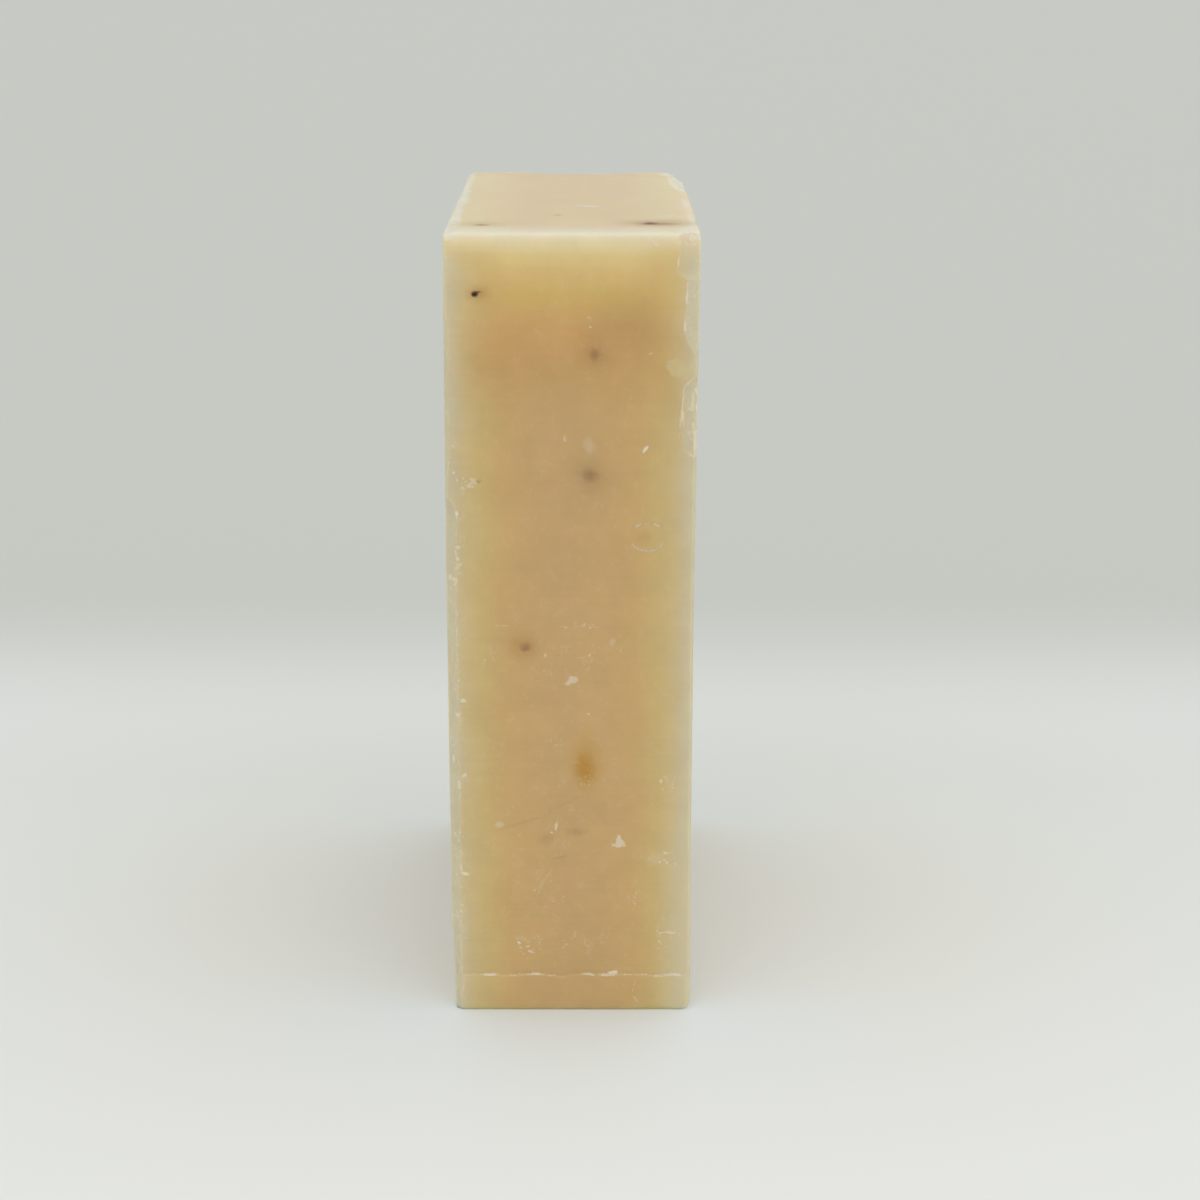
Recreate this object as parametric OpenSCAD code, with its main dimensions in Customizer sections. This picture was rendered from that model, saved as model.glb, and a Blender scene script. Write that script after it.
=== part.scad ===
// A bar of soap, hand cut from a block, bevelled with a plane and worn at its edges.
// It stands on one short end, with a narrow long side to the front (-Y).
// The origin is the middle of the face that it stands on, and +Z is up.

/* [Bar] */
// Width at the foot of the narrow side, which faces the front
bar_w = 25.4; // [18:0.1:40]
// How much narrower the bar is at its top
top_narrowing = 0.3; // [0:0.05:1]
// Depth across the broad side
bar_d = 53; // [35:0.5:80]
// Height of the bar as it stands on its end
bar_h = 83; // [60:0.5:110]
// How far drying has bowed the bar to the left at mid-height
bow = 0.18; // [0.05:0.01:0.6]

/* [Long edges] */
// Bevel down the front left edge, measured across the front
left_bevel_front = 1.2; // [0.6:0.1:3]
// The same bevel, measured back along the broad side
left_bevel_side = 0.9; // [0.5:0.1:3]
// How far below the top the plane bit deeper, where the full bevel starts
left_bevel_drop = 26.5; // [10:0.5:60]
// Share of the bevel's width that it has above that place
left_bevel_upper = 0.5; // [0.3:0.05:0.9]
// Distance below the top of the flake off that bevel
left_flake_drop = 28.4; // [12:0.1:60]
// Length of that flake
left_flake_l = 4.4; // [2:0.2:8]
// Depth of that flake, measured in from the sharp edge
left_flake_bite = 0.86; // [0.75:0.02:1.2]
// Radius worn on the front right edge
right_edge_r = 0.8; // [0.3:0.1:2]
// Radius of the two back edges
back_edge_r = 1; // [0.3:0.1:2.5]

/* [Top end] */
// Radius rubbed along the front edge of the top
top_front_r = 0.45; // [0.3:0.05:2]
// Radius of the back and right edges of the top
top_edge_r = 0.3; // [0.2:0.1:1.5]
// Width of the rubbed strip along the left edge of the top, at the front
top_strip_front = 0.9; // [0.5:0.1:2.5]
// Width of the same strip at the back
top_strip_back = 1.3; // [0.5:0.1:2.5]
// How far that strip falls to the left
top_strip_fall = 0.2; // [0.1:0.05:0.5]

/* [Foot] */
// Height of the line where the plane stopped above the foot
foot_line_z = 4.1; // [2:0.1:10]
// Depth that the plane took off the front above that line
planed_depth = 0.15; // [0.05:0.05:0.5]
// Radius of the foot's edges
foot_edge_r = 0.4; // [0.2:0.1:1]
// Radius of the foot's worn right corner
foot_corner_r = 1.2; // [0.4:0.1:2.5]
// Height over which the left side leans in towards the foot
foot_lean_h = 9; // [4:0.5:20]
// How far the left side leans in at the bottom
foot_lean = 0.25; // [0.1:0.05:0.6]

/* [Flakes off the front right edge] */
// Distance of the corner flake's middle below the top
corner_flake_drop = 3.2; // [2:0.1:5]
// Length of the corner flake
corner_flake_l = 7; // [3:0.5:10]
// Depth of the corner flake, measured in from the sharp edge
corner_flake_bite = 0.75; // [0.3:0.05:1.2]
// Distance of the upper flake's middle below the top
upper_flake_drop = 8.4; // [5:0.1:15]
// Length of the upper flake
upper_flake_l = 9; // [4:0.5:14]
// Depth of the upper flake, measured in from the sharp edge
upper_flake_bite = 0.48; // [0.3:0.02:0.9]
// Distance of the lower flake's middle below the top
lower_flake_drop = 17.9; // [16:0.1:30]
// Length of the lower flake
lower_flake_l = 8.6; // [4:0.5:14]
// Depth of the lower flake, measured in from the sharp edge
lower_flake_bite = 0.54; // [0.3:0.02:0.9]

/* [Chips at the top corners] */
// Length of the crumbled place at the front right corner
front_chip_l = 4; // [2:0.5:7]
// Depth of that crumbled place, measured in from the sharp corner
front_chip_bite = 0.8; // [0.65:0.05:1.5]
// Length of the shallow break along the right edge of the top
right_break_l = 22; // [8:0.5:30]
// Depth of that break, measured in from the sharp edge
right_break_bite = 0.5; // [0.2:0.05:0.9]
// Distance of that break's middle from the back
right_break_in = 10.5; // [6:0.5:20]
// Length of the piece broken off the back right corner
right_corner_l = 18; // [6:0.5:26]
// Depth of that break, measured in from the sharp corner
right_corner_bite = 1.5; // [0.8:0.1:2.5]
// Length of the crumbled place at the back left corner
left_corner_l = 10; // [5:0.5:18]
// Depth of that crumbled place, measured in from the sharp corner
left_corner_bite = 0.5; // [0.4:0.05:1]

/* [Dents in the front] */
// Distance of the nail mark below the top
nail_drop = 30.6; // [28:0.1:45]
// Distance of the nail mark in from the right side
nail_in = 4.9; // [3:0.1:8]
// Radius of the nail mark's ring
nail_r = 1.7; // [0.8:0.1:2.4]
// Width of the groove that the nail pressed
nail_groove_w = 0.6; // [0.4:0.1:1]
// Depth of that groove at the middle of the mark
nail_depth = 0.12; // [0.06:0.02:0.18]
// How far the mark is turned, so that its lower side is deeper, in degrees
nail_tilt = 5; // [0:0.5:8]
// Distance of the rubbed patch below the top
patch_drop = 13.4; // [10:0.1:16]
// Distance of the rubbed patch in from the right side
patch_in = 1.8; // [1.2:0.1:4]
// Length of the rubbed patch
patch_l = 2.4; // [1:0.2:5]
// Depth of the rubbed patch
patch_depth = 0.08; // [0.04:0.02:0.3]
// Width of the flake off the foot's right half
foot_scar_w = 6.2; // [3:0.2:9]
// Depth of the flake off the foot
foot_scar_depth = 0.1; // [0.04:0.02:0.3]

/* [Hidden] */
soap_colour = [0.80, 0.69, 0.52];
// Where the planed front lies above the foot
front_y = -bar_d / 2 + planed_depth;
// Straight strips in each bowed side
bow_steps = 12;
// A cut reaches this far outside the bar
clear = 3;
// Round an edge in this many flat strokes
ease_strokes = 3;
// How far the long sides lean, so that the bar narrows to its top
side_lean = atan(top_narrowing / 2 / bar_h);
// The ways that the scars face
flake_outward = [0.35, -1, 0];
left_flake_outward = [-0.8, -1, 0];
front_chip_outward = [1, -0.3, 1.2];
right_break_outward = [0.3, 0, 1];
right_corner_outward = [1, 0.1, 0.3];
left_corner_outward = [-1, 0.3, 1];
ball_fn = 180;
groove_fn = 48;

function unit(v) = v / norm(v);

// Radius of the ball that leaves a scar of this length and depth
function ball_r(length, depth) = (length * length / 4 + depth * depth) / (2 * depth);

// How far the bow carries the bar sideways at height z, with its ends and middle equally far out
function bow_x(z) = bow / 2 - bow * (1 - pow((z - bar_h / 2) / (bar_h / 2), 2));

// Half the bar's width at height z
function half_w(z) = (bar_w - top_narrowing * z / bar_h) / 2;

// Where the right side (side 1) or the left side (side -1) lies at height z
function side_x(side, z) = side * half_w(z) + bow_x(z);

// One bowed side, from the foot to the top
function side_line(side) =
    [for (i = [0:bow_steps])
        let (z = bar_h * i / bow_steps)
        [side_x(side, z), z]];

// The bowed bar between its two flat end cuts, as seen from the front.
module bowed_blank() {
    left = side_line(-1);
    right = side_line(1);
    rotate([90, 0, 0])
        linear_extrude(bar_d, center = true)
            polygon(concat(right, [for (i = [bow_steps:-1:0]) left[i]]));
}

// Cutter that rounds an edge along X through the origin, with the soap at -Y and -Z.
module eased_edge(length, r) {
    reach = 4 * r;
    for (stroke = [1:ease_strokes])
        translate([0, -r, -r])
            rotate([-90 * stroke / (ease_strokes + 1), 0, 0])
                translate([-length / 2, -reach / 2, r])
                    cube([length, reach, reach]);
}

// One eased edge of an end: turn 0 is the back, 180 the front, -90 the right and 90 the left.
module end_edge(turn, distance, length, r) {
    rotate([0, 0, turn])
        translate([0, distance, 0])
            eased_edge(length + 2 * clear, r);
}

// A long edge eased from the foot to the top: side 1 is the right, end 1 the back.
module long_edge(side, end, r) {
    turn = side > 0 ? (end > 0 ? 0 : -90) : 90;
    translate([side * half_w(bar_h / 2), end * bar_d / 2, bar_h / 2])
        rotate([0, -side * side_lean, 0])
            rotate([0, 0, turn])
                rotate([0, 90, 0])
                    eased_edge(bar_h + 2 * clear, r);
}

module long_edges() {
    long_edge(1, -1, right_edge_r);
    long_edge(1, 1, back_edge_r);
    long_edge(-1, 1, back_edge_r);
}

// A stroke of the plane down the front left edge, this wide and this far up from below the foot.
module bevel_stroke(width, height) {
    lean = atan(left_bevel_side / left_bevel_front);
    reach = 4 * left_bevel_front;
    translate([-half_w(0) + width, -bar_d / 2, 0])
        rotate([0, side_lean, 0])
            rotate([0, 0, -lean])
                translate([-reach, -reach, -clear])
                    cube([2 * reach, reach, height + clear]);
}

// The bevel down the front left edge: a narrow stroke all the way, a deeper one below, and a flake where that starts.
module left_bevel() {
    flake_z = bar_h - left_flake_drop;
    bevel_stroke(left_bevel_upper * left_bevel_front, bar_h + clear);
    bevel_stroke(left_bevel_front, bar_h - left_bevel_drop);
    scar([side_x(-1, flake_z), front_y, flake_z], left_flake_outward, left_flake_l, left_flake_bite);
}

module top_edges() {
    translate([0, 0, bar_h]) {
        end_edge(180, -front_y, bar_w, top_front_r);
        end_edge(0, bar_d / 2, bar_w, top_edge_r);
        end_edge(-90, side_x(1, bar_h), bar_d, top_edge_r);
    }
}

module foot_edges() {
    mirror([0, 0, 1]) {
        end_edge(180, bar_d / 2, bar_w, foot_edge_r);
        end_edge(0, bar_d / 2, bar_w, foot_edge_r);
        end_edge(-90, side_x(1, 0), bar_d, foot_corner_r);
        end_edge(90, -side_x(-1, 0) - foot_lean, bar_d, foot_edge_r);
    }
}

// The shallow strip rubbed along the left edge of the top, which widens towards the back.
module top_strip() {
    turn = atan((top_strip_front - top_strip_back) / bar_d);
    middle = (top_strip_front + top_strip_back) / 2;
    fall = atan(top_strip_fall / middle);
    reach = 2 * (top_strip_front + top_strip_back);
    translate([side_x(-1, bar_h) + middle, 0, bar_h])
        rotate([0, -fall, turn])
            translate([-reach, -bar_d, 0])
                cube([2 * reach, 2 * bar_d, reach]);
}

// What the plane took off the front, down to the line above the foot.
module front_planing() {
    translate([-bar_w, -bar_d / 2 - clear, foot_line_z])
        cube([2 * bar_w, clear + planed_depth, bar_h]);
}

// The left side leans in over the lowest part of the bar.
module foot_leaning() {
    lean = atan(foot_lean / foot_lean_h);
    translate([side_x(-1, 0) + foot_lean, 0, 0])
        rotate([0, -lean, 0])
            translate([-clear, -bar_d, -clear])
                cube([clear, 2 * bar_d, 2 * foot_lean_h + 2 * clear]);
}

// A shell-shaped scar, as a flake leaves it: a ball that bites in at a point.
module scar(at, outward, length, bite) {
    r = ball_r(length, bite);
    translate(at + unit(outward) * (r - bite))
        sphere(r, $fn = ball_fn);
}

module edge_flake(drop, length, bite) {
    z = bar_h - drop;
    scar([side_x(1, z), front_y, z], flake_outward, length, bite);
}

module edge_flakes() {
    edge_flake(corner_flake_drop, corner_flake_l, corner_flake_bite);
    edge_flake(upper_flake_drop, upper_flake_l, upper_flake_bite);
    edge_flake(lower_flake_drop, lower_flake_l, lower_flake_bite);
}

module corner_chips() {
    right = side_x(1, bar_h);
    left = side_x(-1, bar_h);
    back = bar_d / 2;
    scar([right, front_y, bar_h], front_chip_outward, front_chip_l, front_chip_bite);
    scar([right, back - right_break_in, bar_h], right_break_outward, right_break_l, right_break_bite);
    scar([right, back, bar_h], right_corner_outward, right_corner_l, right_corner_bite);
    scar([left, back, bar_h], left_corner_outward, left_corner_l, left_corner_bite);
}

// A ring pressed by a fingernail, deeper on its lower side.
module nail_mark() {
    z = bar_h - nail_drop;
    groove_r = nail_groove_w / 2;
    translate([side_x(1, z) - nail_in, front_y - groove_r + nail_depth, z])
        rotate([90 + nail_tilt, 0, 0])
            rotate_extrude($fn = groove_fn)
                translate([nail_r, 0])
                    circle(groove_r, $fn = groove_fn);
}

module front_dents() {
    patch_z = bar_h - patch_drop;
    foot_scar_x = side_x(1, 0) - foot_scar_w / 2;
    nail_mark();
    scar([side_x(1, patch_z) - patch_in, front_y, patch_z], [0, -1, 0], patch_l, patch_depth);
    scar([foot_scar_x, -bar_d / 2, foot_line_z / 3], [0, -1, 0], foot_scar_w, foot_scar_depth);
}

module soap_bar() {
    color(soap_colour)
        difference() {
            bowed_blank();
            long_edges();
            left_bevel();
            top_edges();
            foot_edges();
            top_strip();
            front_planing();
            foot_leaning();
            edge_flakes();
            corner_chips();
            front_dents();
        }
}

soap_bar();
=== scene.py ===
import math
import random

import bmesh
import bpy
from mathutils import Matrix, Vector, kdtree, noise


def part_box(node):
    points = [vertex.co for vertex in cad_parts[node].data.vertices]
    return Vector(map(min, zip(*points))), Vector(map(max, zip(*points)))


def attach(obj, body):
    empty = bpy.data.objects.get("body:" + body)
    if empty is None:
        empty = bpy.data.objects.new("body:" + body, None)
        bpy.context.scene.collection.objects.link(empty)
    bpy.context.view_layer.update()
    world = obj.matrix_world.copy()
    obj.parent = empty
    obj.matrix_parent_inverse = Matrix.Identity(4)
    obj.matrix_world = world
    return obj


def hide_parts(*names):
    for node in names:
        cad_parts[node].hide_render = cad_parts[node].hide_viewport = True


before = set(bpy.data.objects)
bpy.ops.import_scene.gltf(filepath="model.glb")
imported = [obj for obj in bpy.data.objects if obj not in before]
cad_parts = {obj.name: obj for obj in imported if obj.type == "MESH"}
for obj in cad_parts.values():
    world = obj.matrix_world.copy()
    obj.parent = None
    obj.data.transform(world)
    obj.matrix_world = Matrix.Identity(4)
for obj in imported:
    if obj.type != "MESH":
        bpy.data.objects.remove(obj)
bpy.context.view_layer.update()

MM = 0.001

# The bar's own sizes: the depth and the height come from the frame, and the rest repeat the part's values
low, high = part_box("soap_bar")
bar_d = (high[1] - low[1]) / MM
bar_h = (high[2] - low[2]) / MM
bar_w = 25.4
top_narrowing = 0.3
bow = 0.18
foot_half_w = bar_w / 2
half_d = bar_d / 2
block_middle = (0, 0, bar_h / 2)

left_bevel_front = 1.2
left_bevel_side = 0.9
left_bevel_upper = 0.5
left_bevel_z = 56.5
left_flake_z = 54.6
right_edge_r = 0.8
back_edge_r = 1.0

top_front_r = 0.45
top_edge_r = 0.3
top_strip_front = 0.9
top_strip_back = 1.3
top_strip_fall = 0.2
top_hollow = 0.2
rubbed_strip = 7.0
rubbed_drop = 0.7
rubbed_front = 0.43
rubbed_top = 0.85

foot_line_z = 4.1
foot_line_wave = 0.26
foot_line_jag = 0.08
planed_depth = 0.15
foot_edge_r = 0.1
foot_corner_r = 1.2
foot_lean_h = 9.0
foot_lean = 0.25
front_y = -half_d + planed_depth

# How far the cut edges wobble, and how rough they and the breaks are
edge_wobble = 0.12
edge_roughness = 0.07
break_roughness = 0.1

# The flakes off the front right edge. Each starts at one height, is full from a second to a third, and
# ends at a fourth. Then come its width across the front and how pale the soap is where it came off
CORNER_FLAKE = (84.0, 83.0, 79.4, 77.6, 2.35, 0.55)
UPPER_FLAKE = (79.2, 78.2, 73.6, 69.2, 1.4, 0.95)
LOWER_FLAKE = (69.8, 67.4, 61.6, 60.4, 1.5, 0.44)
flake_slope = 0.35

# The fingernail's mark: its middle, its two radii, its line's width and depth, and how pale its line is,
# which is a highlight painted along the groove
nail_x, nail_z = 7.7, 52.5
nail_half_w = 1.75
nail_half_h = 1.45
nail_line = 0.3
nail_depth = 0.14
nail_painted_highlight = 0.46

# Flakes of pale soap on the front: x, z, half width, half height, turn in degrees and strength
FLAKES = {
    "foot of the triangle": (5.02, 19.0, 0.74, 0.3, 0, 0.5),
    "middle of the triangle": (5.04, 19.3, 0.6, 0.36, 0, 0.5),
    "shoulder of the triangle": (5.02, 19.6, 0.42, 0.36, 0, 0.5),
    "tip of the triangle": (4.98, 19.85, 0.24, 0.32, 0, 0.5),
    "upright sliver": (-1.6, 21.1, 0.15, 0.6, -8, 0.52),
    "foot of the sliver": (-2.1, 20.4, 0.2, 0.12, 0, 0.5),
    "bright dash": (7.4, 61.6, 0.46, 0.16, 52, 1.0),
    "hook on the left edge": (-11.2, 15.8, 0.45, 0.2, -15, 0.7),
    "stem of the hook": (-11.6, 16.5, 0.12, 0.4, 10, 0.6),
    "two dots, upper": (1.75, 74.7, 0.22, 0.16, 0, 0.45),
    "two dots, lower": (1.9, 73.8, 0.24, 0.13, 0, 0.5),
    "low crumb": (-5.6, 7.8, 0.22, 0.15, -35, 0.75),
    "second low crumb": (-4.3, 6.7, 0.4, 0.16, -20, 0.55),
    "crumb by the foot line": (4.4, 4.3, 0.5, 0.2, 5, 0.85),
    "curl by the right edge": (9.85, 9.0, 0.75, 0.1, 8, 0.5),
    "stem of the curl": (9.4, 7.8, 0.12, 0.4, 30, 0.45),
    "left crumb at the middle": (1.8, 33.6, 0.13, 0.13, 0, 0.8),
    "flake at the right edge": (12.3, 62.0, 0.14, 1.3, 0, 0.75),
    "flake above it": (12.35, 67.5, 0.14, 0.3, 0, 0.7),
    "end of the top line": (-12.1, 82.6, 0.75, 0.4, 0, 0.9),
    "crumb at the right corner": (11.9, 82.5, 0.6, 0.35, 20, 0.8),
    "left edge, high": (-12.2, 28.6, 0.14, 0.5, 0, 0.6),
    "left edge, at the amber grain": (-11.7, 25.8, 0.2, 0.45, 0, 0.6),
    "left edge, beside it": (-11.1, 26.8, 0.3, 0.16, 30, 0.6),
    "left edge, at the middle": (-11.5, 54.9, 0.16, 0.28, -20, 0.75),
    "left edge, below that": (-11.9, 48.0, 0.14, 0.16, 0, 0.7),
    "left edge, upper crumb": (-11.1, 35.0, 0.3, 0.24, -20, 0.6),
    "left edge, lower crumb": (-11.8, 33.4, 0.24, 0.26, 0, 0.6),
    "first scuff by the foot": (-11.3, 9.5, 0.09, 1.1, 36, 0.36),
    "second scuff by the foot": (-11.9, 5.3, 0.08, 0.9, 20, 0.5),
    "inner line of the lower strip": (11.0, 65.8, 0.08, 2.9, -6, 0.5),
    "outer edge of the lower strip": (12.1, 66.2, 0.2, 1.3, 0, 0.46),
    "outer edge, further down": (12.2, 63.6, 0.18, 0.8, 0, 0.42),
    "left level scratch": (-7.0, 43.1, 0.9, 0.06, 0, 0.4),
    "right level scratch": (0.9, 43.0, 3.2, 0.08, -1, 0.28),
    "curl by the rubbed patch": (7.8, 71.2, 0.5, 0.12, 20, 0.35),
    "foot's lobe, upper part": (6.7, 2.8, 0.12, 1.0, -15, 0.3),
    "foot's lobe, lower part": (6.9, 1.2, 0.12, 0.65, 32, 0.32),
    "notch in the foot": (6.9, 0.4, 0.4, 0.12, 25, 0.4),
}

# Patches where crumbs lie scattered: x, z, half width, half height, how many and strength
CRUMB_PATCHES = {
    "left edge at the middle": (-10.8, 58.0, 1.3, 0.6, 16, 0.42),
    "left edge, high": (-11.9, 61.5, 0.3, 2.4, 8, 0.35),
    "below the upper smear": (-0.6, 62.6, 0.4, 0.3, 3, 0.3),
    "row across the middle": (0.8, 43.1, 3.2, 0.2, 12, 0.22),
    "left of the lower seed": (-8.4, 39.9, 0.7, 0.6, 5, 0.3),
    "right of the lower seed": (0.8, 39.0, 4.4, 2.0, 24, 0.27),
    "above the amber grain": (-2.0, 30.4, 1.6, 0.5, 9, 0.28),
    "below the amber grain": (1.6, 26.3, 0.8, 0.6, 6, 0.34),
    "right of the amber grain": (9.9, 25.9, 0.7, 0.9, 10, 0.4),
    "right edge, low": (9.9, 17.5, 1.3, 0.7, 12, 0.4),
    "scuffed middle": (-2.4, 14.0, 1.8, 2.2, 14, 0.25),
    "by the low crumbs": (-4.6, 7.2, 1.3, 0.9, 10, 0.42),
    "above the foot line": (1.0, 8.2, 2.6, 1.4, 14, 0.26),
    "curl by the right edge": (9.9, 8.0, 1.1, 1.6, 10, 0.4),
    "small patch at the right": (6.5, 12.8, 0.5, 0.7, 5, 0.3),
    "left edge below the middle": (-11.7, 51.0, 0.7, 4.2, 28, 0.4),
    "left edge, lower": (-11.8, 37.0, 0.5, 9.0, 30, 0.34),
    "left edge, near the foot": (-11.7, 14.0, 0.6, 7.0, 30, 0.36),
    "under the top line": (9.6, 82.0, 2.0, 0.3, 9, 0.42),
    "upper right strip": (11.9, 74.5, 0.6, 4.0, 12, 0.3),
    "lower right strip": (12.1, 64.5, 0.45, 3.6, 18, 0.5),
    "whole front, low": (0.0, 22.0, 11.0, 17.0, 50, 0.15),
    "whole front, high": (0.0, 60.0, 11.0, 19.0, 22, 0.12),
}
crumb_size = (0.1, 0.26)

# A mark fades out over this depth behind its face, so it covers worn edges but not the next face. The
# cells are fine this far round it
mark_depth = 2.0
mark_margin = 0.2

# How soft and how ragged the outlines of the marks are, as shares of their size
flake_softness = 0.35
flake_raggedness = 0.45
patch_softness = 0.8
patch_raggedness = 0.8
patch_dryness = 0.85
top_flake_softness = 0.5
top_flake_raggedness = 0.7
stain_raggedness = 0.25
top_stain_raggedness = 0.2

# Where the ragged lip of pale soap on the line above the foot is thick: from x, to x, height and strength
LIP_STRETCHES = (
    (-9.7, -7.8, 0.2, 0.68), (-4.6, -3.1, 0.2, 0.65), (0.6, 2.6, 0.18, 0.65), (2.9, 4.9, 0.24, 0.72),
    (8.6, 11.9, 0.22, 0.75),
)
lip_height = 0.09
lip_strength = 0.5

# Grains, smears and stains in the front: x, z, half width, half height, turn, softness, strength, colour
FRONT_STAINS = {
    "halo of the black grain": (-9.0, 77.1, 0.9, 0.55, 0, 0.9, 0.35, "b06818"),
    "black grain": (-9.42, 77.0, 0.3, 0.28, 0, 0.3, 1.0, "240800"),
    "tail of the black grain": (-9.15, 77.2, 0.34, 0.12, 10, 0.4, 0.75, "4a1a00"),
    "olive cloud": (4.9, 74.2, 3.0, 2.6, 0, 0.95, 0.2, "8a7444"),
    "halo of the upper seed": (2.3, 71.1, 1.3, 1.3, 0, 0.95, 0.3, "a07844"),
    "upper seed": (2.3, 71.1, 0.42, 0.45, 0, 0.8, 0.38, "7e4814"),
    "halo of the middle seed": (1.9, 58.8, 1.5, 1.4, 0, 0.95, 0.3, "9c7a50"),
    "middle seed": (1.85, 58.9, 0.6, 0.5, 0, 0.9, 0.46, "7a5832"),
    "halo of the lower seed": (-4.8, 40.9, 1.4, 1.2, 0, 0.95, 0.4, "b07a38"),
    "lower seed": (-4.7, 40.8, 0.4, 0.45, 0, 0.7, 0.42, "74400f"),
    "halo of the amber grain": (1.5, 28.2, 1.3, 2.6, 0, 0.95, 0.45, "c4963c"),
    "amber grain": (1.4, 27.6, 0.85, 1.5, 5, 0.9, 0.76, "bf8c1c"),
    "dim grain below the amber": (0.4, 20.5, 0.8, 0.4, 0, 0.9, 0.22, "806038"),
    "dim grain to its left": (-2.6, 19.8, 0.8, 0.6, 0, 0.9, 0.14, "806038"),
    "rim of the left crumbs": (-9.3, 58.2, 0.3, 0.12, 20, 0.6, 0.4, "9a6c30"),
    "first half of the scratch": (-4.9, 21.6, 2.4, 0.12, 18, 0.6, 0.16, "8c6836"),
    "second half of the scratch": (-1.2, 23.4, 2.2, 0.1, 26, 0.6, 0.12, "8c6836"),
    "pale smear": (1.75, 61.9, 0.55, 0.85, 10, 0.5, 0.36, "e2d2b0"),
    "pale blob": (0.15, 37.3, 0.55, 0.38, 25, 0.4, 0.6, "e6dac4"),
    "end of the pale blob": (-0.4, 36.9, 0.3, 0.2, 0, 0.5, 0.5, "e8dac0"),
    "pale spot": (4.2, 41.4, 0.3, 0.4, -20, 0.6, 0.5, "dccba4"),
    "pale spot, low": (-7.5, 21.3, 0.42, 0.32, 0, 0.5, 0.6, "dccfac"),
    "rubbed patch": (10.4, 69.8, 1.0, 0.85, -10, 0.25, 0.6, "dccb9c"),
    "corner of the rubbed patch": (11.1, 69.3, 0.7, 0.7, 20, 0.3, 0.5, "dccb9c"),
    "scuff at the right": (8.9, 17.4, 0.9, 0.55, 10, 0.7, 0.42, "dccfac"),
    "first stroke in the middle": (-2.75, 15.2, 0.13, 1.4, -37, 0.7, 0.32, "dccaa0"),
    "second stroke in the middle": (-3.3, 13.9, 0.12, 1.1, -24, 0.7, 0.3, "dccaa0"),
    "stroke above them": (-1.2, 17.6, 0.7, 0.12, 12, 0.7, 0.28, "a07c48"),
    "warm spot in the nail's mark": (7.3, 52.6, 0.6, 0.6, 0, 0.9, 0.25, "c08a48"),
    "paler low on the right": (11.6, 7.0, 1.7, 15.0, 0, 0.95, 0.5, "dad0ae"),
}

# Blurred grains under the top, in the same order but with x and y
TOP_STAINS = {
    "shade round the left grain": (-8.9, -19.9, 2.2, 1.7, 0, 0.95, 0.22, "b0742c"),
    "left grain": (-8.9, -20.6, 0.6, 0.55, 0, 0.8, 0.62, "9c4200"),
    "shade round the right grain": (8.6, -18.9, 2.9, 2.2, 0, 0.95, 0.4, "96581c"),
    "streak of the right grain": (8.6, -19.5, 1.6, 0.7, 0, 0.9, 0.5, "803c00"),
    "right grain": (7.8, -19.2, 0.6, 0.85, 0, 0.7, 0.92, "702800"),
    "small brown dot": (-1.5, -13.0, 0.35, 0.7, 0, 0.8, 0.35, "96704c"),
    "pale dash": (1.4, -5.4, 1.5, 0.4, -24, 0.5, 0.7, "fbf4e4"),
}

# Flakes of pale soap on the top: x, y, half width, half depth, turn and strength
TOP_FLAKES = {
    "end of the pale dash": (2.5, -6.0, 0.35, 0.5, 0, 0.75),
    "flake on the left strip": (-11.4, -2.8, 0.6, 0.9, 0, 0.9),
    "left strip, forward": (-11.9, -11.0, 0.35, 3.2, 4, 0.7),
    "left strip, at the front": (-11.9, -21.5, 0.4, 1.6, 0, 0.6),
    "left strip, at the back": (-12.0, 9.0, 0.4, 6.0, 0, 0.5),
    "inside the left strip": (-11.3, -17.0, 0.3, 3.0, 5, 0.6),
    "left corner": (-11.8, -24.6, 0.8, 1.2, 0, 0.75),
    "right edge behind the corner": (12.0, -14.0, 0.4, 5.0, 0, 0.6),
    "right edge before the break": (12.0, -3.0, 0.45, 5.0, 0, 0.75),
    "rim of the break": (11.4, 14.5, 0.4, 8.0, 4, 0.7),
    "back of the break": (10.9, 24.0, 0.7, 1.8, 10, 0.7),
    "right corner, at the side": (12.1, -21.5, 0.45, 1.8, 0, 0.75),
    "right corner, inside": (11.4, -22.4, 0.5, 1.6, -20, 0.95),
    "right corner, at the front": (11.6, -24.8, 0.9, 1.1, 0, 0.9),
}

# Colour inwards from a long edge, and down from the top, as millimetres over colour_reach. The pale edges
# are partly dried skin and partly painted light shining through the thin soap; the pale, yellow band down
# from the top is painted light, as if the lit top glowed into the soap. The sides and the back start at
# least_on_sides, so their edges are less pale than the front's
colour_reach = 14.0
least_on_sides = 0.2
SIDE_STOPS = ((0.0, "d1ccae"), (0.06, "d5c8a6"), (0.15, "d7c18e"), (0.26, "d5bb80"), (0.41, "d3b278"),
              (0.55, "d2af77"), (0.9, "cfad78"))
TOP_GLOW_STOPS = ((0.0, "eee1ca"), (0.09, "eddeaf"), (0.17, "e8d194"), (0.28, "e4c685"), (0.43, "dcbc73"),
             (0.66, "d8ae70"), (0.95, "d1a768"))
END_COLOUR = "e7cea5"
END_SIDE_COLOUR = "ead8ad"
SHAVED_COLOUR = "dcd5bc"
RUBBED_COLOUR = "f0eeda"
CRUMB_COLOUR = "ece4d2"
SEED_COLOUR = "7d5a34"

# How pale each wear leaves the soap, from 0 to 1, and the same for the rims of the bevel and the flakes
bevel_pale = 0.3
edge_pale = 0.05
break_white = 0.7
strip_white = 0.75
bevel_rim = 0.7
flake_rim = 1.0

# How many thin curls lie on the top, on the other faces, and by the edges of the hidden ones
curls_on_top = 0.02
curls_on_faces = 0.04
curls_by_edges = 0.14

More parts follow.
